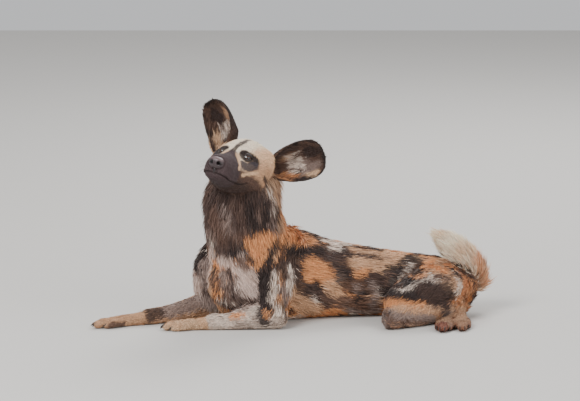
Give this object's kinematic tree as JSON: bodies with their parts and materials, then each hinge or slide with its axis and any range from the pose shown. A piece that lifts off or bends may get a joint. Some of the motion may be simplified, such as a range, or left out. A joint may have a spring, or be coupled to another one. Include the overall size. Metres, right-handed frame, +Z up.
{
  "type": "african wild dog",
  "caption": "African wild dog resting on its chest with hind legs folded to one side, head raised, ears spread and tail curled up, as a still life-size model.",
  "frame": {"origin": "on the floor, under the middle of the whole animal's bounding box", "axes": "the head end points to -X, the left side faces -Y, +Z is up"},
  "size_m": [1.0056, 0.4154, 0.5669],
  "materials": {
    "mottled_fur": "short mottled fur",
    "glass_eye": "glossy dark brown",
    "nose_leather": "smooth, slightly moist",
    "dark_fur": "short fur",
    "pale_fur": "long soft fur"
  },
  "bodies": {
    "root": {"rump": "mottled_fur", "belly": "mottled_fur", "chest": "mottled_fur", "eye_left": "glass_eye", "eye_right": "glass_eye", "nose": "nose_leather", "head": "mottled_fur", "ear_left": "dark_fur", "ear_right": "dark_fur", "neck": "mottled_fur", "upper_arm_left": "mottled_fur", "forearm_left": "mottled_fur", "paw_fore_left": "mottled_fur", "upper_arm_right": "mottled_fur", "forearm_right": "mottled_fur", "paw_fore_right": "mottled_fur", "thigh_left": "mottled_fur", "shank_left": "mottled_fur", "foot_hind_left": "mottled_fur", "thigh_right": "mottled_fur", "shank_right": "mottled_fur", "foot_hind_right": "mottled_fur", "tail_brush": "pale_fur", "tail_root": "mottled_fur"}
  },
  "joints": []
}
